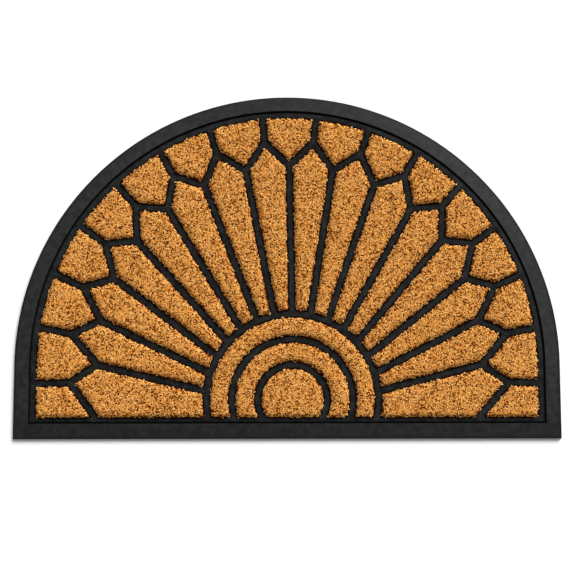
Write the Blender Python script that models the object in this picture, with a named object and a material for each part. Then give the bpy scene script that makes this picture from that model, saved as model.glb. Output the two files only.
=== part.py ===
"""A half-round coir doormat that lies flat, with its straight edge towards -Y.

One piece of moulded rubber makes the backing sheet, the sloping border, the flat land inside the border
and a net of low ribs. The net parts 36 pockets in the form of a fan, and a coir pad fills each pocket.
"""
import math

import bmesh
import bpy
from mathutils import Matrix, Vector

# Outline: a half circle with a short straight leg under each end, all lengths in metres
ARC_RADIUS = 0.375
LEG = 0.103
DEPTH = LEG + ARC_RADIUS
ARC_STEPS = 90

# Heights above the ground
SHEET_TOP = 0.0030
RIB_TOP = 0.0065
BORDER_EDGE = 0.0050
COIR_TOP = 0.0120

# Border, from its outer edge inwards: each row is a band's width and the height of its inner edge. The
# slope ends in a ridge, and a narrow groove parts the ridge from the flat land.
GROOVE_FLOOR = 0.0045
BORDER_BANDS = (
    {"width": 0.0009, "height": 0.0056},
    {"width": 0.0187, "height": 0.0093},
    {"width": 0.0008, "height": 0.0095},
    {"width": 0.0005, "height": GROOVE_FLOOR},
    {"width": 0.0017, "height": GROOVE_FLOOR},
    {"width": 0.0005, "height": RIB_TOP},
)

# Coir field and the ribs between its pads
COIR_INSET = 0.0313
BASE_LINE = 0.0289
RIB_GAP = 0.0102
PAD_GAP = 0.0004
SEAT_GAP = 0.0003
RIB_ROUNDING = 0.0018
PAD_ROUNDING = 0.0012
ROUNDING_STEPS = 2
CORNER_RADIUS = 0.0015
CORNER_STEPS = 2
CORNER_TURN = math.radians(20)
CORNER_CLEARANCE = 0.0045
CORNER_SHARE = 0.9

# Arches: round ribs about one middle, which lies a little right of the mat's middle line
ARCH_MIDDLE = Vector((0.0073, 0.053))
RING_RIBS = (0.1181, 0.0832, 0.0476)
ARCH_STEP = math.radians(5)
RING_STEP = math.radians(4)

# Fan: ray ribs run from the outer ring rib to the valleys, and a zigzag joins valleys and peaks
RAYS = 7
RAY_FOOT_PITCH = math.radians(12.06)
VALLEY_MIDDLE = Vector((0.0034, 0.115))
VALLEY_RADIUS = 0.2643
VALLEY_PITCH = math.radians(13.3)
PEAK_MIDDLE = Vector((0.003, 0.105))
PEAK_RADIUS = 0.3025
PEAK_SWELL = 0.0068
PEAK_PITCH = math.radians(12.72)
SHORT_RIB_AIM = Vector((0.0, 0.084))
END_ARM_FOOT = Vector((0.259, 0.024))

RUBBER = {"colour": (0.028, 0.030, 0.029), "roughness": 0.62}
COIR = {"colour": (0.600, 0.270, 0.072), "roughness": 0.95}

# Mesh tolerances: points this near are one, faces this nearly level are one, walls this nearly upright
SAME_POINT = 0.00001
LEVEL_TURN = math.radians(0.1)
UPRIGHT = 0.1
SHARP_TURN = math.radians(30)


def clear_scene():
    """Remove what the scene holds."""
    for item in list(bpy.data.objects):
        bpy.data.objects.remove(item, do_unlink=True)


def new_collection(name):
    """A collection linked to the scene."""
    made = bpy.data.collections.new(name)
    bpy.context.scene.collection.children.link(made)
    return made


def principled(name, finish):
    """A Principled material of one colour and roughness."""
    made = bpy.data.materials.new(name)
    made.use_nodes = True
    shader = made.node_tree.nodes["Principled BSDF"]
    shader.inputs["Base Color"].default_value = (*finish["colour"], 1.0)
    shader.inputs["Roughness"].default_value = finish["roughness"]
    shader.inputs["Metallic"].default_value = 0.0
    return made


def on_circle(middle, radius, angle):
    """The point of a circle at an angle measured clockwise from +Y."""
    return middle + radius * Vector((math.sin(angle), math.cos(angle)))


def valley(number):
    """Outer end of a ray rib, numbered from the middle ray; the last ones stand on the base line."""
    if abs(number) > RAYS:
        return Vector((math.copysign(END_ARM_FOOT.x, number), END_ARM_FOOT.y))
    return on_circle(VALLEY_MIDDLE, VALLEY_RADIUS, number * VALLEY_PITCH)


def ray_foot(number):
    """Inner end of a ray rib, on the outer ring rib."""
    return on_circle(ARCH_MIDDLE, RING_RIBS[0], number * RAY_FOOT_PITCH)


def peak(number):
    """Point of a ray pad's tip, numbered 1 to 8 to the right and -1 to -8 to the left."""
    angle = math.copysign(abs(number) - 0.5, number) * PEAK_PITCH
    radius = PEAK_RADIUS + PEAK_SWELL * math.cos(angle) ** 4
    return on_circle(PEAK_MIDDLE, radius, angle)


def arc_points(middle, radius, start, end, step):
    """Points along an arc, with angles measured anticlockwise from +X."""
    count = max(1, math.ceil(abs(end - start) / step))
    angles = (start + (end - start) * i / count for i in range(count + 1))
    return [middle + radius * Vector((math.cos(a), math.sin(a))) for a in angles]


def half_round(inset, base):
    """Outline of the mat drawn in by an inset, standing on a base line."""
    middle = Vector((0.0, LEG))
    radius = ARC_RADIUS - inset
    arc = arc_points(middle, radius, 0.0, math.pi, math.pi / ARC_STEPS)
    return [Vector((-radius, base)), Vector((radius, base))] + arc


def ring_arc(radius, base, step):
    """Arc about the arches' middle, from its right foot on the base line over the top to its left foot."""
    foot = math.asin((base - ARCH_MIDDLE.y) / radius)
    return arc_points(ARCH_MIDDLE, radius, foot, math.pi - foot, step)


def fan_field(spread):
    """Outline of the field of rays: the coir field less the round of the arches."""
    base = BASE_LINE - spread
    outer = half_round(COIR_INSET - spread, base)
    ring = ring_arc(RING_RIBS[0] + RIB_GAP / 2 - spread, base, RING_STEP)
    return outer[1:] + outer[:1] + ring[::-1]


def cut_by_rib(outline, start, end, inside, distance):
    """Keep the part of an outline that lies beyond a distance from a rib's middle line."""
    normal = (end - start).orthogonal().normalized()
    if (inside - start).dot(normal) < 0:
        normal = -normal
    kept = []
    for i, point in enumerate(outline):
        before = outline[i - 1]
        depth = (point - start).dot(normal) - distance
        depth_before = (before - start).dot(normal) - distance
        if (depth > 0) != (depth_before > 0):
            kept.append(before.lerp(point, depth_before / (depth_before - depth)))
        if depth > 0:
            kept.append(point)
    return kept


def turn(before, point, after):
    """Size of the turn that an outline makes at a point."""
    return abs((point - before).angle_signed(after - point))


def clear_corners(outline):
    """Drop points of a curved side that lie too near a corner to leave room for its rounding."""
    count = len(outline)
    sharp = [turn(outline[i - 1], outline[i], outline[(i + 1) % count]) > CORNER_TURN for i in range(count)]
    kept = []
    for i, point in enumerate(outline):
        near = [j for j in (i - 1, (i + 1) % count) if sharp[j]]
        if sharp[i] or all((point - outline[j]).length > CORNER_CLEARANCE for j in near):
            kept.append(point)
    return kept


def round_corners(outline):
    """Replace each corner of an outline by a short arc."""
    points = clear_corners(outline)
    count = len(points)
    rounded = []
    for i, point in enumerate(points):
        before = points[i - 1]
        after = points[(i + 1) % count]
        angle = turn(before, point, after)
        if angle < CORNER_TURN:
            rounded.append(point)
            continue
        back = (before - point).normalized()
        ahead = (after - point).normalized()
        room = CORNER_SHARE * min((before - point).length, (after - point).length)
        run = min(CORNER_RADIUS * math.tan(angle / 2), room)
        radius = run / math.tan(angle / 2)
        middle = point + (back + ahead).normalized() * radius / math.cos(angle / 2)
        start = point + back * run - middle
        sweep = start.angle_signed(point + ahead * run - middle)
        for j in range(CORNER_STEPS + 1):
            rounded.append(middle + Matrix.Rotation(-sweep * j / CORNER_STEPS, 2) @ start)
    return rounded


def ray_outline(number, spread):
    """Pad between two ray ribs, with a pointed tip between two arms of the zigzag."""
    side = int(math.copysign(1, number))
    tip = peak(number)
    inner = valley(number - side)
    outer = valley(number)
    inside = (tip + ray_foot(number)) / 2
    ribs = [(inner, ray_foot(number - side)), (inner, tip), (tip, outer)]
    if abs(number) <= RAYS:
        ribs.append((outer, ray_foot(number)))
    outline = fan_field(spread)
    for start, end in ribs:
        outline = cut_by_rib(outline, start, end, inside, RIB_GAP / 2 - spread)
    return outline


def rim_outline(number, spread):
    """Pad under the arc, between two short ribs and the arms that meet at a valley."""
    side = 1 if number >= 0 else -1
    tips = [peak(number) if number else peak(-1)]
    inside = Vector((side * (ARC_RADIUS - COIR_INSET), BASE_LINE))
    if abs(number) <= RAYS:
        tips.append(peak(number + side))
        inside = (tips[0] + tips[1]) / 2
    ribs = [(tip, tip + (tip - SHORT_RIB_AIM)) for tip in tips] + [(tip, valley(number)) for tip in tips]
    outline = fan_field(spread)
    for start, end in ribs:
        outline = cut_by_rib(outline, start, end, inside, RIB_GAP / 2 - spread)
    return outline


def arch_outline(ring, spread):
    """Pad inside a ring rib, hollow where a smaller ring rib follows."""
    base = BASE_LINE - spread
    outline = ring_arc(RING_RIBS[ring] - RIB_GAP / 2 + spread, base, ARCH_STEP)
    if ring + 1 < len(RING_RIBS):
        inner = ring_arc(RING_RIBS[ring + 1] + RIB_GAP / 2 - spread, base, ARCH_STEP)
        outline += inner[::-1]
    return outline


def pad_outlines(spread):
    """Every pad's name and outline, each outline grown by a spread."""
    outlines = {}
    rays = [n for n in range(-RAYS - 1, RAYS + 2) if n]
    for place, number in enumerate(rays, start=1):
        outlines[f"coir_ray_{place:02d}"] = ray_outline(number, spread)
    for place, number in enumerate(range(-RAYS - 1, RAYS + 2), start=1):
        outlines[f"coir_rim_{place:02d}"] = rim_outline(number, spread)
    for ring, name in enumerate(("coir_arch_outer", "coir_arch_middle", "coir_disc")):
        outlines[name] = arch_outline(ring, spread)
    return {name: round_corners(outline) for name, outline in outlines.items()}


def slab(name, outlines, low, high):
    """Mesh of flat outlines filled and extruded between two heights."""
    curve = bpy.data.curves.new(name, "CURVE")
    curve.dimensions = "2D"
    curve.fill_mode = "BOTH"
    curve.extrude = (high - low) / 2
    for outline in outlines:
        spline = curve.splines.new("POLY")
        spline.points.add(len(outline) - 1)
        spline.use_cyclic_u = True
        for point, (x, y) in zip(spline.points, outline):
            point.co = (x, y, 0.0, 1.0)
    holder = bpy.data.objects.new(name, curve)
    bpy.context.scene.collection.objects.link(holder)
    bpy.context.view_layer.update()
    mesh = bpy.data.meshes.new_from_object(holder.evaluated_get(bpy.context.evaluated_depsgraph_get()))
    mesh.name = name
    bpy.data.objects.remove(holder, do_unlink=True)
    bpy.data.curves.remove(curve)
    form = bmesh.new()
    form.from_mesh(mesh)
    bmesh.ops.remove_doubles(form, verts=form.verts, dist=SAME_POINT)
    bmesh.ops.recalc_face_normals(form, faces=form.faces)
    bmesh.ops.dissolve_limit(form, angle_limit=LEVEL_TURN, verts=form.verts, edges=form.edges)
    bmesh.ops.translate(form, verts=form.verts, vec=(0.0, 0.0, (high + low) / 2))
    form.to_mesh(mesh)
    form.free()
    return mesh


def edges_at(form, height):
    """Edges at a height where a flat top meets a wall that drops from it."""
    found = []
    for edge in form.edges:
        level = all(abs(v.co.z - height) < SAME_POINT for v in edge.verts)
        walls = [f for f in edge.link_faces if abs(f.normal.z) < UPRIGHT]
        if level and len(walls) == 1 and walls[0].calc_center_median().z < height:
            found.append(edge)
    return found


def round_top(mesh, height, width):
    """Round the upper edges of pads or ribs."""
    form = bmesh.new()
    form.from_mesh(mesh)
    upper = edges_at(form, height)
    bmesh.ops.bevel(form, geom=upper, offset=width, segments=ROUNDING_STEPS, profile=0.5, affect="EDGES")
    form.to_mesh(mesh)
    form.free()


def add_border(mesh):
    """Step the slab's top face inwards, band by band, up the slope, through the groove and on to the land."""
    form = bmesh.new()
    form.from_mesh(mesh)
    top = max(form.faces, key=lambda f: f.calc_center_median().z)
    for band in BORDER_BANDS:
        bmesh.ops.inset_region(form, faces=[top], thickness=band["width"], use_even_offset=True)
        rise = band["height"] - top.verts[0].co.z
        bmesh.ops.translate(form, verts=top.verts, vec=(0.0, 0.0, rise))
    form.to_mesh(mesh)
    form.free()


def place(name, mesh, collection, parent):
    """One named object under the mat's empty."""
    made = bpy.data.objects.new(name, mesh)
    made.parent = parent
    collection.objects.link(made)
    return made


def finish(mesh, material):
    """Give a mesh its material, and smooth shading between its sharp edges."""
    mesh.materials.append(material)
    mesh.shade_smooth()
    mesh.set_sharp_from_angle(angle=SHARP_TURN)


def cut_pockets(base, cutter):
    """Take the pockets out of the rubber, and round the ribs that they leave."""
    cut = base.modifiers.new("pockets", "BOOLEAN")
    cut.operation = "DIFFERENCE"
    cut.solver = "EXACT"
    cut.object = cutter
    bpy.context.view_layer.update()
    mesh = bpy.data.meshes.new_from_object(base.evaluated_get(bpy.context.evaluated_depsgraph_get()))
    base.modifiers.remove(cut)
    round_top(mesh, RIB_TOP, RIB_ROUNDING)
    base.data = mesh


def build_rubber_base(collection, cutters, parent):
    """The moulded rubber: slab, border, and pockets cut to leave the land and the ribs."""
    mesh = slab("rubber_base", [half_round(0.0, 0.0)], 0.0, BORDER_EDGE)
    add_border(mesh)
    base = place("rubber_base", mesh, collection, parent)
    pockets = slab("pockets", pad_outlines(PAD_GAP).values(), SHEET_TOP, COIR_TOP)
    cutter = place("pockets", pockets, cutters, parent)
    cutter.hide_render = True
    cutter.display_type = "WIRE"
    cut_pockets(base, cutter)
    finish(base.data, principled("moulded_rubber", RUBBER))


def build_coir_pads(collection, parent):
    """One pad in each pocket, a little clear of its floor and walls."""
    coir = principled("coir", COIR)
    for name, outline in pad_outlines(0.0).items():
        mesh = slab(name, [outline], SHEET_TOP + SEAT_GAP, COIR_TOP)
        round_top(mesh, COIR_TOP, PAD_ROUNDING)
        finish(mesh, coir)
        place(name, mesh, collection, parent)


def build_mat():
    """The whole mat, centred over the origin."""
    clear_scene()
    collection = new_collection("coir_doormat")
    cutters = new_collection("cutters")
    middle = bpy.data.objects.new("mat_middle", None)
    middle.location = (0.0, -DEPTH / 2, 0.0)
    collection.objects.link(middle)
    build_rubber_base(collection, cutters, middle)
    build_coir_pads(collection, middle)


build_mat()
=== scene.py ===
"""Looks of a half-round doormat: one moulded black rubber mat with a fan of coir pads set in its pockets.

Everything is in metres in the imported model's frame: the mat lies flat with its straight edge towards -Y.
"""
import math

import bmesh
import bpy
import numpy as np
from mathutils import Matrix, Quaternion, Vector


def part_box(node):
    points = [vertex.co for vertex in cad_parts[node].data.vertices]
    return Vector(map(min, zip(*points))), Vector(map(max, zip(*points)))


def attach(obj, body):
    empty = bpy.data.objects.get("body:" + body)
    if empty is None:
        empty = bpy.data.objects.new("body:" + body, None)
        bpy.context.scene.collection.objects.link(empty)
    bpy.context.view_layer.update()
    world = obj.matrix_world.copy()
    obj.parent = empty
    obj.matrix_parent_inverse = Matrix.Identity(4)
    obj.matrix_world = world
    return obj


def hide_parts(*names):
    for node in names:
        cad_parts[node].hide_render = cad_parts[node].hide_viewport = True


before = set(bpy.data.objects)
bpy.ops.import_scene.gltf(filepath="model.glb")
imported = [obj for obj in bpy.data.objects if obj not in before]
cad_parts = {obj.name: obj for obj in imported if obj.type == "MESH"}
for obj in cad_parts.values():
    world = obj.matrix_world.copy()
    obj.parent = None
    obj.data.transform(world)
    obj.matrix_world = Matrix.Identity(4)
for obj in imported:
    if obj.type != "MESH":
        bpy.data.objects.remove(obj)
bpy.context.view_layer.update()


# Studio. A plain pale floor, pale light from all round, and two soft lamps beyond the mat's round side and to
# the right: a low wide one, which leaves the pads' near sides in shade, and a higher and much weaker one, for
# a trace of sheen on the border. The camera looks down on the mat from over its straight edge.
FLOOR_SIDE = 60.0
FLOOR_COLOURS = ("#dadad9", "#dededd")
FLOOR_CLOUDS_PER_METRE = 3.0
LAMPS = (
    {"name": "low_wide_lamp", "elevation": 37, "turn": 29, "width": 50, "strength": 6.0},
    {"name": "high_lamp", "elevation": 62, "turn": 46, "width": 12, "strength": 0.05},
)
SKY_COLOUR = "#ffffff"
SKY_STRENGTH = 0.45
IMAGE_SIDE = 576
MAT_MIDDLE_PX = (286.91, 265.95)
CAMERA_ELEVATION = math.radians(82)
CAMERA_ROLL = math.radians(0.09)
CAMERA_DISTANCE = 2.143
CAMERA_LENS = 96.32


def colour(text):
    """Linear colour with alpha from sRGB hex."""
    parts = [int(text[i:i + 2], 16) / 255 for i in (1, 3, 5)]
    return [p / 12.92 if p <= 0.04045 else ((p + 0.055) / 1.055) ** 2.4 for p in parts] + [1.0]


def add_node(tree, kind, inputs=(), **settings):
    """Add a node with its settings. Its inputs get values, or links from sockets or nodes' first outputs."""
    made = tree.nodes.new(kind)
    for name, value in settings.items():
        setattr(made, name, value)
    for key, value in dict(inputs).items():
        if isinstance(value, bpy.types.Node):
            value = value.outputs[0]
        if isinstance(value, bpy.types.NodeSocket):
            tree.links.new(value, made.inputs[key])
        else:
            made.inputs[key].default_value = value
    return made


def new_material(name):
    """A material with an empty tree of nodes."""
    made = bpy.data.materials.new(name)
    made.use_nodes = True
    made.node_tree.nodes.clear()
    return made, made.node_tree


def new_object(name, data):
    """An object linked to the scene."""
    made = bpy.data.objects.new(name, data)
    bpy.context.scene.collection.objects.link(made)
    return made


form = bmesh.new()
bmesh.ops.create_grid(form, x_segments=1, y_segments=1, size=FLOOR_SIDE / 2)
floor_mesh = bpy.data.meshes.new("floor")
form.to_mesh(floor_mesh)
form.free()
floor = new_object("floor", floor_mesh)

# Matte studio board: pale and even, with wide clouds that are hardly seen
board, tree = new_material("matte_studio_board")
place = add_node(tree, "ShaderNodeTexCoord").outputs["Object"]
clouds = add_node(tree, "ShaderNodeTexNoise", {"Vector": place, "Scale": FLOOR_CLOUDS_PER_METRE,
                                               "Detail": 2.0})
shade = add_node(tree, "ShaderNodeMix", {0: clouds, 6: colour(FLOOR_COLOURS[0]), 7: colour(FLOOR_COLOURS[1])},
                 data_type="RGBA").outputs[2]
surface = add_node(tree, "ShaderNodeBsdfPrincipled", {"Base Color": shade, "Roughness": 0.9,
                                                      "Specular IOR Level": 0.1})
add_node(tree, "ShaderNodeOutputMaterial", {"Surface": surface})
floor_mesh.materials.append(board)

for values in LAMPS:
    lamp = bpy.data.lights.new(values["name"], "SUN")
    lamp.energy = values["strength"]
    lamp.angle = math.radians(values["width"])
    lamp_object = new_object(values["name"], lamp)
    rise = math.radians(values["elevation"])
    turn = math.radians(values["turn"])
    way = Vector((math.sin(turn) * math.cos(rise), math.cos(turn) * math.cos(rise), math.sin(rise)))
    lamp_object.rotation_euler = way.to_track_quat("Z", "Y").to_euler()

world = bpy.data.worlds.new("pale_studio")
world.use_nodes = True
world.node_tree.nodes["Background"].inputs["Color"].default_value = colour(SKY_COLOUR)
world.node_tree.nodes["Background"].inputs["Strength"].default_value = SKY_STRENGTH
bpy.context.scene.world = world

camera = bpy.data.cameras.new("camera")
camera.lens = CAMERA_LENS
camera.shift_x = 0.5 - MAT_MIDDLE_PX[0] / IMAGE_SIDE
camera.shift_y = MAT_MIDDLE_PX[1] / IMAGE_SIDE - 0.5
camera_object = new_object("camera", camera)
camera_back = Vector((0.0, -math.cos(CAMERA_ELEVATION), math.sin(CAMERA_ELEVATION)))
camera_object.location = camera_back * CAMERA_DISTANCE
camera_turn = camera_back.to_track_quat("Z", "Y") @ Quaternion((0.0, 0.0, 1.0), -CAMERA_ROLL)
camera_object.rotation_euler = camera_turn.to_euler()
bpy.context.scene.camera = camera_object
bpy.context.scene.view_settings.view_transform = "Standard"


# Rubber mat. One piece of black rubber, pressed hot in a steel mould: a thin backing sheet, a border that
# slopes down to the floor, a flat land inside it and the low ribs that part the pads. The mould rounds
# every edge a little.
MM = 0.001
RUBBER_FLAT = (0.750, 0.478)
HALF_WIDTH = RUBBER_FLAT[0] / 2
BASE_EDGE_Y = -RUBBER_FLAT[1] / 2
ARC_MIDDLE_Y = RUBBER_FLAT[1] / 2 - HALF_WIDTH
BORDER_WIDTH = 20.4 * MM
MOULD_ROUNDING = 0.35 * MM
MOULD_ROUNDING_ANGLE = math.radians(20)
MOULD_ROUNDING_STEPS = 2
SAME_POINT = 0.01 * MM
LEVEL_TURN = math.radians(0.2)
SHARP_TURN = math.radians(35)


def merged_copy(node, name):
    """A copy of a node's mesh with its loose triangles merged and its level faces joined."""
    form = bmesh.new()
    form.from_mesh(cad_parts[node].data)
    bmesh.ops.remove_doubles(form, verts=form.verts, dist=SAME_POINT)
    bmesh.ops.dissolve_limit(form, angle_limit=LEVEL_TURN, verts=form.verts, edges=form.edges)
    mesh = bpy.data.meshes.new(name)
    form.to_mesh(mesh)
    form.free()
    return mesh


def apply_modifiers(piece):
    """Give an object the mesh that its modifiers make, and drop the modifiers."""
    bpy.context.view_layer.update()
    held = piece.evaluated_get(bpy.context.evaluated_depsgraph_get())
    mesh = bpy.data.meshes.new_from_object(held)
    piece.modifiers.clear()
    piece.data = mesh


rubber_mat = new_object("moulded_rubber_mat", merged_copy("rubber_base", "moulded_rubber_mat"))
rounding = rubber_mat.modifiers.new("mould_rounding", "BEVEL")
rounding.width = MOULD_ROUNDING
rounding.segments = MOULD_ROUNDING_STEPS
rounding.limit_method = "ANGLE"
rounding.angle_limit = MOULD_ROUNDING_ANGLE
apply_modifiers(rubber_mat)
rubber_mat.data.shade_smooth()
rubber_mat.data.set_sharp_from_angle(angle=SHARP_TURN)

# Moulded rubber, an SBR and crumb mix: deep grey black and dull, since the mould's blasted face leaves a
# fine grain that spreads every highlight. The grain is about 0.2 mm, drawn at 1.8 mm so that it shows. The
# border has greyed with age and dust. Towards the top of the arc and along the base all the rubber is darker:
# painted shade, where the lamps light the border less. The land, the ribs and the groove are darker than the
# border, partly as cleaner rubber and partly as painted shade from the pads. Everything below the ribs' top
# is darker still, most of all beside the pads: painted shade.
GRAIN_SIZE = 1.8 * MM
GRAIN_DEPTH = 0.05 * MM
PATCH_SIZE = 9 * MM
MOTTLE_FROM = 0.18
MOTTLE_TO = 0.34
PAINTED_SHADE_LEVEL = 0.8
SHADED_TOP_MIDDLE = (0.03, 0.23, 0.008)
SHADED_TOP_FROM = 0.08
SHADED_TOP_TO = 0.20
SHADED_BASE_FROM = BASE_EDGE_Y + 0.020
SHADED_BASE_TO = BASE_EDGE_Y + 0.040
LOW_SHADE_FROM = 5.7 * MM
LOW_SHADE_TO = 6.4 * MM
RUBBER_DULLNESS = (0.40, 0.54)
RUBBER_GLOSS = 0.04


def rubber_finish(name, plain, dusty, low):
    """Rubber with a fine grain, mottled between two colours, with painted shade at the arc's top and the
    base, and a darker colour low down beside the pads, which is painted shade too.
    """
    made, tree = new_material(name)
    place = add_node(tree, "ShaderNodeTexCoord").outputs["Object"]
    height = add_node(tree, "ShaderNodeSeparateXYZ", {0: place})
    grain = add_node(tree, "ShaderNodeTexNoise", {"Vector": place, "Scale": 1 / GRAIN_SIZE, "Detail": 2.0,
                                                  "Roughness": 0.6})
    patches = add_node(tree, "ShaderNodeTexNoise", {"Vector": place, "Scale": 1 / PATCH_SIZE, "Detail": 3.0})
    mottle = add_node(tree, "ShaderNodeMath", {0: grain, 1: patches}, operation="MULTIPLY")
    dustiness = add_node(tree, "ShaderNodeMapRange", {"Value": mottle, "From Min": MOTTLE_FROM,
                                                      "From Max": MOTTLE_TO})
    shade = add_node(tree, "ShaderNodeMix", {0: dustiness, 6: colour(plain), 7: colour(dusty)},
                     data_type="RGBA").outputs[2]

    # Painted shade: all the rubber is darker towards the top of the arc and along the base.
    from_top = add_node(tree, "ShaderNodeVectorMath", {0: place, 1: SHADED_TOP_MIDDLE}, operation="DISTANCE")
    top_painted_shade = add_node(tree, "ShaderNodeMapRange", {"Value": from_top.outputs["Value"],
                                                     "From Min": SHADED_TOP_FROM, "From Max": SHADED_TOP_TO,
                                                     "To Min": PAINTED_SHADE_LEVEL, "To Max": 1.0})
    base_painted_shade = add_node(tree, "ShaderNodeMapRange", {"Value": height.outputs["Y"],
                                                      "From Min": SHADED_BASE_FROM, "From Max": SHADED_BASE_TO,
                                                      "To Min": PAINTED_SHADE_LEVEL, "To Max": 1.0})
    painted_shade = add_node(tree, "ShaderNodeMath", {0: top_painted_shade, 1: base_painted_shade}, operation="MULTIPLY")
    shade = add_node(tree, "ShaderNodeMix", {0: 1.0, 6: shade, 7: painted_shade},
                     data_type="RGBA", blend_type="MULTIPLY").outputs[2]
    # Painted shade: below the ribs' top the rubber takes the darker low colour, beside the pads and in the
    # groove.
    raised = add_node(tree, "ShaderNodeMapRange", {"Value": height.outputs["Z"], "From Min": LOW_SHADE_FROM,
                                                   "From Max": LOW_SHADE_TO})
    shade = add_node(tree, "ShaderNodeMix", {0: raised, 6: colour(low), 7: shade},
                     data_type="RGBA").outputs[2]

    dullness = add_node(tree, "ShaderNodeMapRange", {"Value": grain, "To Min": RUBBER_DULLNESS[0],
                                                     "To Max": RUBBER_DULLNESS[1]})
    relief = add_node(tree, "ShaderNodeBump", {"Height": grain, "Distance": GRAIN_DEPTH, "Strength": 1.0})
    surface = add_node(tree, "ShaderNodeBsdfPrincipled", {"Base Color": shade, "Roughness": dullness,
                                                          "Specular IOR Level": RUBBER_GLOSS,
                                                          "Normal": relief})
    add_node(tree, "ShaderNodeOutputMaterial", {"Surface": surface})
    return made


rubber_mat.data.materials.clear()
rubber_mat.data.materials.append(rubber_finish("greyed_black_rubber", "#1d1e1e", "#282929", "#191a1a"))
rubber_mat.data.materials.append(rubber_finish("clean_and_shaded_black_rubber", "#111212", "#222323", "#050505"))
# Faces inside the border take the darker rubber, which is partly painted shade from the pads.
for face in rubber_mat.data.polygons:
    middle = face.center
    beyond_arc = math.hypot(middle.x, max(0.0, middle.y - ARC_MIDDLE_Y))
    inset = min(HALF_WIDTH - beyond_arc, middle.y - BASE_EDGE_Y)
    face.material_index = int(inset > BORDER_WIDTH)

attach(rubber_mat, "root")
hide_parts("rubber_base")


# Coir pads. Coconut fibre, bonded upright in each pocket of the rubber and then shorn level, so that the
# cut ends lean every way and stand a few millimetres over the ribs. Each pad is a matted foot with loose
# fibres on it, which reach the height and the outline of the pad's solid.
PAD_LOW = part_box("coir_disc")[0].z
PAD_TOP = 12 * MM
WALL_LOOKS_UP_MOST = 0.1
TOP_LOOKS_UP_LEAST = 0.3
SHOULDER_WIDTH = 5.0 * MM
SHOULDER_DROP = 2.0 * MM
FOOT_TOP_SHARE = 0.86
FOOT_INSET = 0.9 * MM
FOOT_CELL = 3.0 * MM
FOOT_LUMP_SIZE = 5 * MM
FOOT_LUMP_HEIGHT = 1.1 * MM
PIT_SPACING = 2.4 * MM
PIT_SIZE = 1.10 * MM
PIT_SMALLEST = 0.5 * PIT_SIZE / PIT_SPACING
PIT_LARGEST = 1.3 * PIT_SIZE / PIT_SPACING
EDGE_WIDTH = 3.0 * MM
MIDDLE_SHARE = 0.80
ROOT_DEPTH = 0.6 * MM
FIBRE_SPACING = 1.02 * MM
FIBRE_MOST_PER_AREA = 900000.0
FIBRE_LENGTH = 5.0 * MM
FIBRE_WIDTH = 0.92 * MM
FIBRE_WIDTH_SPREAD = (0.75, 1.25)
FIBRE_BEND = 1.3 * MM
FIBRE_KINDS = 5
FIBRE_SIDES = 3
FIBRE_SEGMENTS = 2
FIBRE_TAPER = 2.5
FIBRE_RUN = (1.0 * MM, 4.4 * MM)
FIBRE_LEAN = 0.6 * MM
FIBRE_OVERHANG = (-1.4 * MM, 0.1 * MM)
FIBRE_STRAY_POWER = 4.0
FIBRE_TOP = 11.8 * MM
FIBRE_TOP_SPREAD = 0.3 * MM
FIBRE_LEAST_RISE = 0.5 * MM
FIBRE_TONE_SPREAD = (0.04, 0.94)
FIBRE_LEAST_TONE = 0.001
PAINTED_EDGE_SHADE = 0.16
PATCH_TONE = 0.16
PATCH_TONE_FROM = 0.3
PATCH_TONE_TO = 0.7
TONE_PATCH_SIZE = 9 * MM
SHADE_WIDTH = 8.0 * MM
SHADE_TILT = 1.15
SHADE_EVENNESS = 4.0
COIR_GLOSS = 0.02
LEVEL = (1.0, 1.0, 0.0)
UP = (0.0, 0.0, 1.0)

# Coir fibre, the husk of ripe coconut: mostly straw, about one in four rust brown, and redder towards the
# root, where light has come through other fibres. A real fibre is about 0.25 mm thick, and is drawn at
# 0.92 mm so that single fibres show. Its map runs across with its tone and upwards with its length.
FIBRE_TONES = ((0.0, "#360c00"), (0.25, "#783004"), (0.34, "#e2a95a"), (0.75, "#e4b46a"), (1.0, "#e2b670"))
ROOT_TINT = "#c67236"
TIP_TINT = "#ffffff"
FIBRE_MAP_TOP = 0.24
ROOT_TINT_TOP = 0.16
fibre_finish, tree = new_material("coir_fibre")
own_map = add_node(tree, "ShaderNodeUVMap", uv_map="OFBake")
tone_and_run = add_node(tree, "ShaderNodeSeparateXYZ", {0: own_map})
tone = add_node(tree, "ShaderNodeValToRGB", {"Fac": tone_and_run.outputs["X"]})
steps = tone.color_ramp.elements
steps.remove(steps[1])
steps[0].color = colour(FIBRE_TONES[0][1])
for position, text in FIBRE_TONES[1:]:
    steps.new(position).color = colour(text)
run = add_node(tree, "ShaderNodeMapRange", {"Value": tone_and_run.outputs["Y"], "From Max": ROOT_TINT_TOP})
tint = add_node(tree, "ShaderNodeMix", {0: run, 6: colour(ROOT_TINT), 7: colour(TIP_TINT)},
                data_type="RGBA").outputs[2]
shade = add_node(tree, "ShaderNodeMix", {0: 1.0, 6: tone, 7: tint},
                 data_type="RGBA", blend_type="MULTIPLY").outputs[2]
surface = add_node(tree, "ShaderNodeBsdfPrincipled", {"Base Color": shade, "Roughness": 0.7,
                                                      "Specular IOR Level": COIR_GLOSS})
add_node(tree, "ShaderNodeOutputMaterial", {"Surface": surface})

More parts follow.
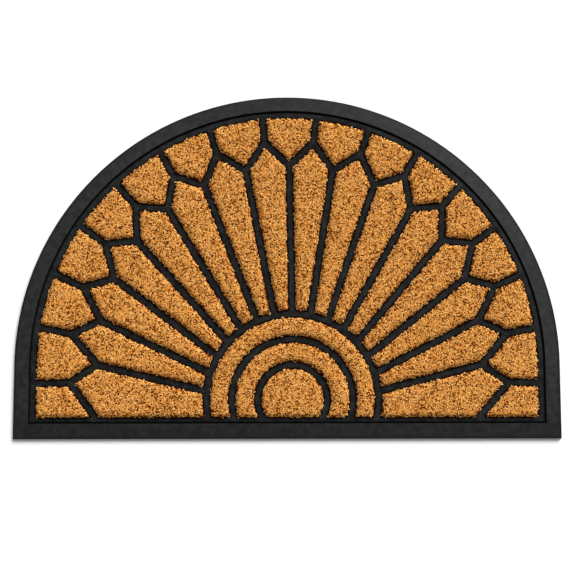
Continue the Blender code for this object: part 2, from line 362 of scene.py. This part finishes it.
# Matted coir, the same fibre pressed and bonded together: brown and dull, and darker in its hollows.
# In the small pits of the pile and low down between the pads it is darker still, which is painted shade.
# Its strands are drawn at 1.3 mm so that they show.
STRAND_SIZE = 1.3 * MM
STRAND_DEPTH = 0.5 * MM
HOLLOW_COLOUR = "#8c3c04"
STRAND_COLOUR = "#de9e4a"
PIT_SHADE_COLOUR = "#3c1200"
PIT_EDGE_FROM = 0.8
PIT_EDGE_TO = 1.2
LOW_COIR_SHADE_COLOUR = "#240c00"
LOW_COIR_SHADE_FROM = 5.0 * MM
LOW_COIR_SHADE_TO = 8.5 * MM
foot_finish, tree = new_material("matted_coir")
place = add_node(tree, "ShaderNodeTexCoord").outputs["Object"]
strands = add_node(tree, "ShaderNodeTexNoise", {"Vector": place, "Scale": 1 / STRAND_SIZE, "Detail": 3.0,
                                                "Roughness": 0.7, "Distortion": 1.5})
tone = add_node(tree, "ShaderNodeMix", {0: strands, 6: colour(HOLLOW_COLOUR), 7: colour(STRAND_COLOUR)},
                data_type="RGBA").outputs[2]
level_place = add_node(tree, "ShaderNodeVectorMath", {0: place, 1: LEVEL}, operation="MULTIPLY")
cells = add_node(tree, "ShaderNodeTexVoronoi", {"Vector": level_place, "Scale": 1 / PIT_SPACING})
chance = add_node(tree, "ShaderNodeSeparateColor", {0: cells.outputs["Color"]}).outputs["Red"]
pit_size = add_node(tree, "ShaderNodeMapRange", {"Value": chance, "To Min": PIT_SMALLEST,
                                                 "To Max": PIT_LARGEST})
pit_share = add_node(tree, "ShaderNodeMath", {0: cells.outputs["Distance"], 1: pit_size}, operation="DIVIDE")
beside_pit = add_node(tree, "ShaderNodeMapRange", {"Value": pit_share, "From Min": PIT_EDGE_FROM,
                                                   "From Max": PIT_EDGE_TO})
# Painted shade in the small pits, where no fibres stand.
tone = add_node(tree, "ShaderNodeMix", {0: beside_pit, 6: colour(PIT_SHADE_COLOUR), 7: tone},
                data_type="RGBA").outputs[2]
# Painted shade low down between the pads.
height = add_node(tree, "ShaderNodeSeparateXYZ", {0: place}).outputs["Z"]
rise = add_node(tree, "ShaderNodeMapRange", {"Value": height, "From Min": LOW_COIR_SHADE_FROM,
                                             "From Max": LOW_COIR_SHADE_TO})
shade = add_node(tree, "ShaderNodeMix", {0: rise, 6: colour(LOW_COIR_SHADE_COLOUR), 7: tone},
                 data_type="RGBA").outputs[2]
relief = add_node(tree, "ShaderNodeBump", {"Height": strands, "Distance": STRAND_DEPTH, "Strength": 1.0})
surface = add_node(tree, "ShaderNodeBsdfPrincipled", {"Base Color": shade, "Roughness": 0.85,
                                                      "Specular IOR Level": COIR_GLOSS, "Normal": relief})
add_node(tree, "ShaderNodeOutputMaterial", {"Surface": surface})

# The tree that grows the fibres: it lowers the pad to its foot, and plants fibres whose tips end at the
# shorn height and turn aside before they pass the pad's outline by more than a little.
MATH = "ShaderNodeMath"
VECTOR_MATH = "ShaderNodeVectorMath"
PILE_INPUTS = (
    ("Pad", "NodeSocketObject", None),
    ("Seed", "NodeSocketInt", 0),
    ("Spacing", "NodeSocketFloat", FIBRE_SPACING),
    ("Fibre Top", "NodeSocketFloat", FIBRE_TOP),
    ("Fibre Width", "NodeSocketFloat", FIBRE_WIDTH),
    ("Fibre Length", "NodeSocketFloat", FIBRE_LENGTH),
)
pile = bpy.data.node_groups.new("coir_pile", "GeometryNodeTree")
pile.interface.new_socket("Geometry", in_out="INPUT", socket_type="NodeSocketGeometry")
sockets = {}
for name, socket_type, value in PILE_INPUTS:
    socket = pile.interface.new_socket(name, in_out="INPUT", socket_type=socket_type)
    if value is not None:
        socket.default_value = value
    sockets[name] = socket.identifier
pile.interface.new_socket("Geometry", in_out="OUTPUT", socket_type="NodeSocketGeometry")
given = add_node(pile, "NodeGroupInput").outputs

# What is drawn by chance for each fibre, and its range. Each draw adds its own number to the pad's seed.
DRAWS = (
    ("turn", 0.0, 2 * math.pi),
    ("run", FIBRE_RUN[0], FIBRE_RUN[1]),
    ("stray", 0.0, 1.0),
    ("top", -FIBRE_TOP_SPREAD, FIBRE_TOP_SPREAD),
    ("roll", 0.0, 2 * math.pi),
    ("width", FIBRE_WIDTH_SPREAD[0], FIBRE_WIDTH_SPREAD[1]),
    ("tone", FIBRE_TONE_SPREAD[0], FIBRE_TONE_SPREAD[1]),
    ("spare", 0.0, 1.0),
    ("kind", 0.0, FIBRE_KINDS - 0.01),
)
drawn = {}
for number, (name, low, high) in enumerate(DRAWS, start=1):
    seed = add_node(pile, MATH, {0: given["Seed"], 1: float(number)}, operation="ADD")
    draw = add_node(pile, "FunctionNodeRandomValue", {2: low, 3: high, "Seed": seed}, data_type="FLOAT")
    drawn[name] = draw.outputs[1]

position = add_node(pile, "GeometryNodeInputPosition")
normal = add_node(pile, "GeometryNodeInputNormal").outputs["Normal"]
height = add_node(pile, "ShaderNodeSeparateXYZ", {0: position}).outputs["Z"]
looks_up = add_node(pile, "ShaderNodeSeparateXYZ", {0: normal}).outputs["Z"]
level_place = add_node(pile, VECTOR_MATH, {0: position, 1: LEVEL}, operation="MULTIPLY")

# How far a place is from the pad's walls, and which way the nearest wall lies. A wall is a face that looks
# hardly up or down.
solid = add_node(pile, "GeometryNodeObjectInfo", {"Object": given["Pad"]}).outputs["Geometry"]
looks_up_or_down = add_node(pile, MATH, {0: looks_up}, operation="ABSOLUTE")
upright = add_node(pile, MATH, {0: looks_up_or_down, 1: WALL_LOOKS_UP_MOST}, operation="LESS_THAN")
walls = add_node(pile, "GeometryNodeSeparateGeometry", {"Geometry": solid, "Selection": upright},
                 domain="FACE")
nearest = add_node(pile, "GeometryNodeProximity", {0: walls}, target_element="FACES").outputs["Position"]
way_there = add_node(pile, VECTOR_MATH, {0: nearest, 1: position}, operation="SUBTRACT")
to_wall = add_node(pile, VECTOR_MATH, {0: way_there, 1: LEVEL}, operation="MULTIPLY")
wall_distance = add_node(pile, VECTOR_MATH, {0: to_wall}, operation="LENGTH").outputs["Value"]
outward = add_node(pile, VECTOR_MATH, {0: to_wall}, operation="NORMALIZE")


def shoulder_fall(distance):
    """How far the pile's shorn face lies below its middle at a distance from the nearest wall."""
    inner_share = add_node(pile, MATH, {0: distance, 1: SHOULDER_WIDTH}, operation="DIVIDE", use_clamp=True)
    outer_share = add_node(pile, MATH, {0: 1.0, 1: inner_share}, operation="SUBTRACT")
    curve = add_node(pile, MATH, {0: outer_share, 1: 2.0}, operation="POWER")
    return add_node(pile, MATH, {0: curve, 1: SHOULDER_DROP}, operation="MULTIPLY")


# The foot: the pad's solid lowered towards its underside, drawn in at its sides and made lumpy
above = add_node(pile, MATH, {0: height, 1: PAD_LOW}, operation="SUBTRACT")
share = add_node(pile, MATH, {0: above, 1: PAD_TOP - PAD_LOW}, operation="DIVIDE", use_clamp=True)
drop = add_node(pile, MATH, {0: above, 1: FOOT_TOP_SHARE - 1.0}, operation="MULTIPLY")
lumps = add_node(pile, "ShaderNodeTexNoise", {"Vector": level_place, "Scale": 1 / FOOT_LUMP_SIZE,
                                              "Detail": 1.0})
lump = add_node(pile, MATH, {0: lumps, 1: 0.5}, operation="SUBTRACT")
lump_height = add_node(pile, MATH, {0: lump, 1: FOOT_LUMP_HEIGHT * 2}, operation="MULTIPLY")
root_fall = shoulder_fall(wall_distance)
top_relief = add_node(pile, MATH, {0: lump_height, 1: root_fall}, operation="SUBTRACT")
relief = add_node(pile, MATH, {0: top_relief, 1: share}, operation="MULTIPLY")
lift = add_node(pile, MATH, {0: drop, 1: relief}, operation="ADD")
lifted = add_node(pile, "ShaderNodeCombineXYZ", {"Z": lift})
level_normal = add_node(pile, VECTOR_MATH, {0: normal, 1: LEVEL}, operation="MULTIPLY")
inset = add_node(pile, MATH, {0: share, 1: -FOOT_INSET}, operation="MULTIPLY")
drawn_in = add_node(pile, VECTOR_MATH, {0: level_normal, "Scale": inset}, operation="SCALE")
offset = add_node(pile, VECTOR_MATH, {0: lifted, 1: drawn_in}, operation="ADD")
foot = add_node(pile, "GeometryNodeSetPosition", {"Geometry": given["Geometry"], "Offset": offset})

# The roots: even but not regular under the whole of the pad's own top, with one in five left out away from
# its edge and none in the small pits. They are then set a little way down in the foot's top.
on_top = add_node(pile, MATH, {0: looks_up, 1: TOP_LOOKS_UP_LEAST}, operation="GREATER_THAN")
roots = add_node(pile, "GeometryNodeDistributePointsOnFaces",
                 {"Mesh": solid, "Selection": on_top, "Distance Min": given["Spacing"],
                  "Density Max": FIBRE_MOST_PER_AREA, "Seed": given["Seed"]}, distribute_method="POISSON")
spare = add_node(pile, MATH, {0: drawn["spare"], 1: MIDDLE_SHARE}, operation="GREATER_THAN")
inner = add_node(pile, MATH, {0: wall_distance, 1: EDGE_WIDTH}, operation="GREATER_THAN")
spare_inside = add_node(pile, MATH, {0: spare, 1: inner}, operation="MULTIPLY")
cells = add_node(pile, "ShaderNodeTexVoronoi", {"Vector": level_place, "Scale": 1 / PIT_SPACING})
chance = add_node(pile, "FunctionNodeSeparateColor", {0: cells.outputs["Color"]}).outputs["Red"]
pit_size = add_node(pile, "ShaderNodeMapRange", {"Value": chance, "To Min": PIT_SMALLEST,
                                                 "To Max": PIT_LARGEST})
in_pit = add_node(pile, MATH, {0: cells.outputs["Distance"], 1: pit_size}, operation="LESS_THAN")
for left_out in (spare_inside, in_pit):
    roots = add_node(pile, "GeometryNodeDeleteGeometry", {"Geometry": roots, "Selection": left_out})
foot_top = PAD_LOW + (PAD_TOP - PAD_LOW) * FOOT_TOP_SHARE
root_height = add_node(pile, MATH, {0: top_relief, 1: foot_top - ROOT_DEPTH}, operation="ADD")
root_up = add_node(pile, "ShaderNodeCombineXYZ", {"Z": root_height})
root_place = add_node(pile, VECTOR_MATH, {0: level_place, 1: root_up}, operation="ADD")
roots = add_node(pile, "GeometryNodeSetPosition", {"Geometry": roots, "Position": root_place})

# Each fibre's way: a level run in any direction, which leans outwards near a wall and is turned along it
# where it would overhang too far. Few fibres overhang at all.
turn_x = add_node(pile, MATH, {0: drawn["turn"]}, operation="COSINE")
turn_y = add_node(pile, MATH, {0: drawn["turn"]}, operation="SINE")
across = add_node(pile, "ShaderNodeCombineXYZ", {"X": turn_x, "Y": turn_y})
plain_run = add_node(pile, VECTOR_MATH, {0: across, "Scale": drawn["run"]}, operation="SCALE")
fall_share = add_node(pile, MATH, {0: root_fall, 1: SHOULDER_DROP}, operation="DIVIDE")
lean = add_node(pile, MATH, {0: fall_share, 1: FIBRE_LEAN}, operation="MULTIPLY")
lean_run = add_node(pile, VECTOR_MATH, {0: outward, "Scale": lean}, operation="SCALE")
free_run = add_node(pile, VECTOR_MATH, {0: plain_run, 1: lean_run}, operation="ADD")
stray = add_node(pile, MATH, {0: drawn["stray"], 1: FIBRE_STRAY_POWER}, operation="POWER")
reach = add_node(pile, MATH, {0: stray, 1: FIBRE_OVERHANG[1] - FIBRE_OVERHANG[0]}, operation="MULTIPLY")
overhang = add_node(pile, MATH, {0: reach, 1: FIBRE_OVERHANG[0]}, operation="ADD")
room = add_node(pile, MATH, {0: wall_distance, 1: overhang}, operation="ADD")
outward_run = add_node(pile, VECTOR_MATH, {0: free_run, 1: outward}, operation="DOT_PRODUCT").outputs["Value"]
excess = add_node(pile, MATH, {0: outward_run, 1: room}, operation="SUBTRACT")
held_back = add_node(pile, MATH, {0: excess, 1: 0.0}, operation="MAXIMUM")
turned_back = add_node(pile, VECTOR_MATH, {0: outward, "Scale": held_back}, operation="SCALE")
kept_run = add_node(pile, VECTOR_MATH, {0: free_run, 1: turned_back}, operation="SUBTRACT")

# Each tip ends at the shorn height, which falls away in a soft shoulder near the pad's outline
tip_run = add_node(pile, VECTOR_MATH, {0: kept_run, 1: outward}, operation="DOT_PRODUCT").outputs["Value"]
tip_distance = add_node(pile, MATH, {0: wall_distance, 1: tip_run}, operation="SUBTRACT")
level_top = add_node(pile, MATH, {0: given["Fibre Top"], 1: drawn["top"]}, operation="ADD")
tip_height = add_node(pile, MATH, {0: level_top, 1: shoulder_fall(tip_distance)}, operation="SUBTRACT")
tip_rise = add_node(pile, MATH, {0: tip_height, 1: height}, operation="SUBTRACT")
least_rise = add_node(pile, MATH, {0: tip_rise, 1: FIBRE_LEAST_RISE}, operation="MAXIMUM")
tip_up = add_node(pile, "ShaderNodeCombineXYZ", {"Z": least_rise})
way = add_node(pile, VECTOR_MATH, {0: kept_run, 1: tip_up}, operation="ADD")
aim = add_node(pile, "FunctionNodeAlignRotationToVector", {"Vector": way}, axis="Z")
roll = add_node(pile, "FunctionNodeAxisAngleToRotation", {"Axis": UP, "Angle": drawn["roll"]})
rotation = add_node(pile, "FunctionNodeRotateRotation", {0: aim, 1: roll}, rotation_space="LOCAL")
way_length = add_node(pile, VECTOR_MATH, {0: way}, operation="LENGTH").outputs["Value"]
length = add_node(pile, MATH, {0: way_length, 1: given["Fibre Length"]}, operation="DIVIDE")
scale = add_node(pile, "ShaderNodeCombineXYZ", {"X": drawn["width"], "Y": drawn["width"], "Z": length})

# Each fibre's tone, drawn by chance, a little lighter or darker in patches. It is darker near the outline:
# painted shade on the pad's falling rim. It is never quite nothing, because that marks the foot.
patches = add_node(pile, "ShaderNodeTexNoise", {"Vector": position, "Scale": 1 / TONE_PATCH_SIZE,
                                                "Detail": 1.0})
patch = add_node(pile, "ShaderNodeMapRange", {"Value": patches, "From Min": PATCH_TONE_FROM,
                                              "From Max": PATCH_TONE_TO, "To Min": -PATCH_TONE,
                                              "To Max": PATCH_TONE})
plain_tone = add_node(pile, MATH, {0: drawn["tone"], 1: patch}, operation="ADD")
edge_shade = add_node(pile, MATH, {0: root_fall, 1: PAINTED_EDGE_SHADE / SHOULDER_DROP}, operation="MULTIPLY")
edge_shaded_tone = add_node(pile, MATH, {0: plain_tone, 1: edge_shade}, operation="SUBTRACT")
tone = add_node(pile, MATH, {0: edge_shaded_tone, 1: FIBRE_LEAST_TONE}, operation="MAXIMUM")

# The shorn face's own slope where the fibre ends. The fibre's shading follows it in part, because light
# scatters between real fibres and evens out their sides.
tip_inner = add_node(pile, MATH, {0: tip_distance, 1: SHADE_WIDTH}, operation="DIVIDE", use_clamp=True)
tip_outer = add_node(pile, MATH, {0: 1.0, 1: tip_inner}, operation="SUBTRACT")
tilt = add_node(pile, MATH, {0: tip_outer, 1: SHADE_TILT}, operation="MULTIPLY")
tilted = add_node(pile, VECTOR_MATH, {0: outward, "Scale": tilt}, operation="SCALE")
face_way = add_node(pile, VECTOR_MATH, {0: tilted, 1: UP}, operation="ADD")
for name, value, data_type in (("tone", tone, "FLOAT"), ("face_way", face_way, "FLOAT_VECTOR")):
    roots = add_node(pile, "GeometryNodeStoreNamedAttribute", {"Geometry": roots, "Name": name,
                                                               "Value": value},
                     data_type=data_type, domain="POINT")

# A few bent fibres with three sides and a pointed tip, which the roots pick from, the straighter ones near
# a wall. Such a curve bows half as far as its middle point stands out.
run_along = add_node(pile, "GeometryNodeSplineParameter").outputs["Factor"]
narrowing = add_node(pile, MATH, {0: run_along, 1: FIBRE_TAPER}, operation="POWER")
taper = add_node(pile, MATH, {0: 1.0, 1: narrowing}, operation="SUBTRACT")
half_width = add_node(pile, MATH, {0: given["Fibre Width"], 1: 0.5}, operation="MULTIPLY")
half_length = add_node(pile, MATH, {0: given["Fibre Length"], 1: 0.5}, operation="MULTIPLY")
end = add_node(pile, "ShaderNodeCombineXYZ", {"Z": given["Fibre Length"]})
section = add_node(pile, "GeometryNodeCurvePrimitiveCircle", {"Resolution": FIBRE_SIDES,
                                                              "Radius": half_width}, mode="RADIUS")
section = add_node(pile, "GeometryNodeStoreNamedAttribute", {"Geometry": section, "Name": "side",
                                                             "Value": run_along},
                   data_type="FLOAT", domain="POINT")
kinds = add_node(pile, "GeometryNodeGeometryToInstance")
for number in range(FIBRE_KINDS):
    bow = FIBRE_BEND * (number + 1) / FIBRE_KINDS
    middle = add_node(pile, "ShaderNodeCombineXYZ", {"X": bow * 2, "Z": half_length})
    line = add_node(pile, "GeometryNodeCurveQuadraticBezier", {"Resolution": FIBRE_SEGMENTS,
                                                               "Start": (0.0, 0.0, 0.0), "Middle": middle,
                                                               "End": end})
    line = add_node(pile, "GeometryNodeStoreNamedAttribute", {"Geometry": line, "Name": "along",
                                                              "Value": run_along},
                    data_type="FLOAT", domain="POINT")
    line = add_node(pile, "GeometryNodeSetCurveRadius", {"Curve": line, "Radius": taper})
    skin = add_node(pile, "GeometryNodeCurveToMesh", {"Curve": line, "Profile Curve": section,
                                                      "Fill Caps": True})
    skin = add_node(pile, "GeometryNodeMergeByDistance", {"Geometry": skin, "Distance": SAME_POINT})
    pile.links.new(skin.outputs[0], kinds.inputs[0])
most_bent = add_node(pile, MATH, {0: wall_distance, 1: 2 * EDGE_WIDTH}, operation="DIVIDE", use_clamp=True)
bent_kind = add_node(pile, MATH, {0: drawn["kind"], 1: most_bent}, operation="MULTIPLY")
kind = add_node(pile, MATH, {0: bent_kind}, operation="FLOOR")
fibres = add_node(pile, "GeometryNodeInstanceOnPoints", {"Points": roots, "Instance": kinds,
                                                         "Pick Instance": True, "Instance Index": kind,
                                                         "Rotation": rotation, "Scale": scale})
fibres = add_node(pile, "GeometryNodeRealizeInstances", {"Geometry": fibres})
fibres = add_node(pile, "GeometryNodeSetMaterial", {"Geometry": fibres, "Material": fibre_finish})
foot = add_node(pile, "GeometryNodeSetMaterial", {"Geometry": foot, "Material": foot_finish})
whole = add_node(pile, "GeometryNodeJoinGeometry")
for part in (foot, fibres):
    pile.links.new(part.outputs[0], whole.inputs[0])
add_node(pile, "NodeGroupOutput", {0: whole})

# Where the mesh's own map holds each fibre: its tone across, with a little width, and its run upwards in
# the map's lowest part. The foot lies flat in the rest, with its walls folded outwards.
TONE_MAP_FROM = 0.03
TONE_MAP_WIDTH = 0.94
SIDE_MAP_WIDTH = 0.02
MIDDLE_SIDE = 0.33
FOOT_MAP_LOW = 0.27
WALL_FOLD = 0.8


def held_rows(source, field, width):
    """What a mesh holds for each of its points, as rows of a given width."""
    values = np.zeros(len(source) * width, np.float32)
    source.foreach_get(field, values)
    return values.reshape(-1, width)


def lay_out(mesh):
    """Write the mesh's own map and its shading normals from what the tree stored on it."""
    corner = np.zeros(len(mesh.loops), np.int32)
    mesh.loops.foreach_get("vertex_index", corner)
    tone = held_rows(mesh.attributes["tone"].data, "value", 1)[corner, 0]
    along = held_rows(mesh.attributes["along"].data, "value", 1)[corner, 0]
    side = held_rows(mesh.attributes["side"].data, "value", 1)[corner, 0]
    place = held_rows(mesh.vertices, "co", 3)[corner]
    own_way = held_rows(mesh.vertex_normals, "vector", 3)
    face_way = held_rows(mesh.attributes["face_way"].data, "vector", 3)

    across = TONE_MAP_FROM + tone * TONE_MAP_WIDTH + (side - MIDDLE_SIDE) * SIDE_MAP_WIDTH
    strip = np.column_stack((across, along * FIBRE_MAP_TOP))
    low = place.min(axis=0)
    high = place.max(axis=0)
    depth = high[2] - low[2]
    size = max(high[0] - low[0], high[1] - low[1]) + 2 * depth
    flat = place[:, :2] + own_way[corner][:, :2] * (high[2] - place[:, 2:3]) * WALL_FOLD
    flat = (flat - low[:2] + depth) / size
    flat[:, 1] = FOOT_MAP_LOW + flat[:, 1] * (1 - FOOT_MAP_LOW)
    on_fibre = tone[:, None] > 0
    both = np.where(on_fibre, strip, flat).astype(np.float32)
    layer = mesh.uv_layers.new(name="OFBake")
    layer.data.foreach_set("uv", np.clip(both, 0.0, 1.0).ravel())

    shading = own_way + face_way * SHADE_EVENNESS
    shading /= np.linalg.norm(shading, axis=1)[:, None]
    for name in ("tone", "along", "side", "face_way"):
        mesh.attributes.remove(mesh.attributes[name])
    mesh.shade_smooth()
    mesh.normals_split_custom_set_from_vertices(shading)


SEEDS_PER_PAD = 100
pads = sorted(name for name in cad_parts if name.startswith("coir_"))
for number, name in enumerate(pads):
    pad = new_object(name.replace("coir", "pile"), merged_copy(name, name))
    cells = pad.modifiers.new("even_cells", "REMESH")
    cells.mode = "VOXEL"
    cells.voxel_size = FOOT_CELL
    growth = pad.modifiers.new("pile", "NODES")
    growth.node_group = pile
    growth[sockets["Pad"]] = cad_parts[name]
    growth[sockets["Seed"]] = number * SEEDS_PER_PAD
    for input_name, socket_type, value in PILE_INPUTS[2:]:
        growth[sockets[input_name]] = value
    apply_modifiers(pad)
    lay_out(pad.data)
    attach(pad, "root")
    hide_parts(name)
